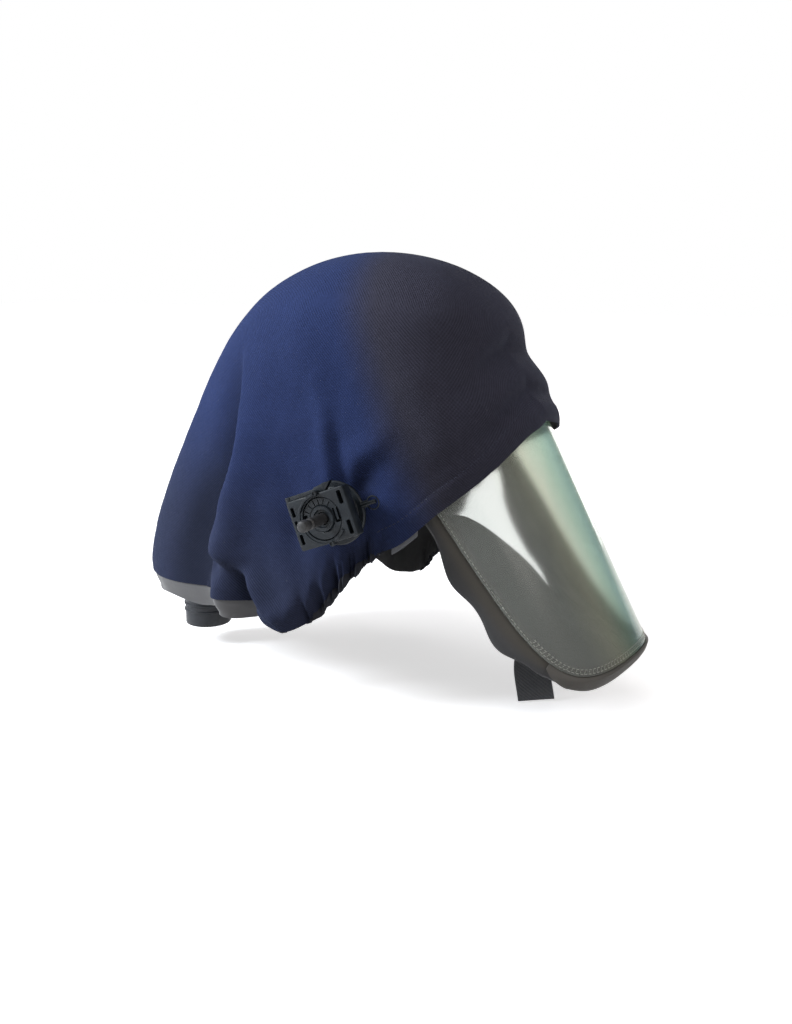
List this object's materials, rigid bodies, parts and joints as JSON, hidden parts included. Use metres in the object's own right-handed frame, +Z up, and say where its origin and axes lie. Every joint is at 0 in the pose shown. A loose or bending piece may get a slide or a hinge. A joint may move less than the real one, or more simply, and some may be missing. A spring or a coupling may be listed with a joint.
{
  "type": "protective hood",
  "caption": "Air-fed protective hood: navy cloth cover with a gathered skirt, clear bent visor sewn to a grey face seal, nape air inlet and side pivot brackets for an outer shield.",
  "frame": {"origin": "middle of the crown's inner face, where the hood sits on the top of the head", "axes": "+Z up, -Y to the wearer's front (the visor), -X to the wearer's right, in the pose of the picture"},
  "size_m": [0.3296, 0.4342, 0.3396],
  "materials": {
    "navy_cloth": "matte twill",
    "tab_cloth": "matte webbing",
    "grey_cloth": "coated cloth, dull",
    "elastic": "matte gathered edging",
    "clear_sheet": "clear bent sheet with a faint green tint",
    "dark_plastic": "moulded, satin",
    "pale_plastic": "moulded, dull",
    "stud_plastic": "moulded, worn"
  },
  "bodies": {
    "hood": {"cover": "navy_cloth", "neck_lining": "grey_cloth", "air_inlet": "dark_plastic", "visor": "clear_sheet", "face_seal": "grey_cloth", "chin_band": "grey_cloth", "chin_tab": "tab_cloth", "ear_elastic_right": "elastic", "hem_clip_right": "pale_plastic", "bracket_base_right": "dark_plastic", "bracket_housing_right": "dark_plastic", "bracket_stud_right": "stud_plastic", "bracket_backing_right": "dark_plastic", "ear_elastic_left": "elastic", "hem_clip_left": "pale_plastic", "bracket_base_left": "dark_plastic", "bracket_housing_left": "dark_plastic", "bracket_stud_left": "stud_plastic", "bracket_backing_left": "dark_plastic"},
    "dial_right": {"bracket_dial_right": "dark_plastic"},
    "dial_left": {"bracket_dial_left": "dark_plastic"}
  },
  "joints": [
    {"name": "shield_pivot_right", "type": "hinge", "parent": "hood", "child": "dial_right", "pos_m": [-0.1328, -0.0219, -0.178], "axis": [-1, 0, 0], "range_deg": [0, 75]},
    {"name": "shield_pivot_left", "type": "hinge", "parent": "hood", "child": "dial_left", "pos_m": [0.1328, -0.0219, -0.178], "axis": [-1, 0, 0], "range_deg": [0, 75]}
  ]
}
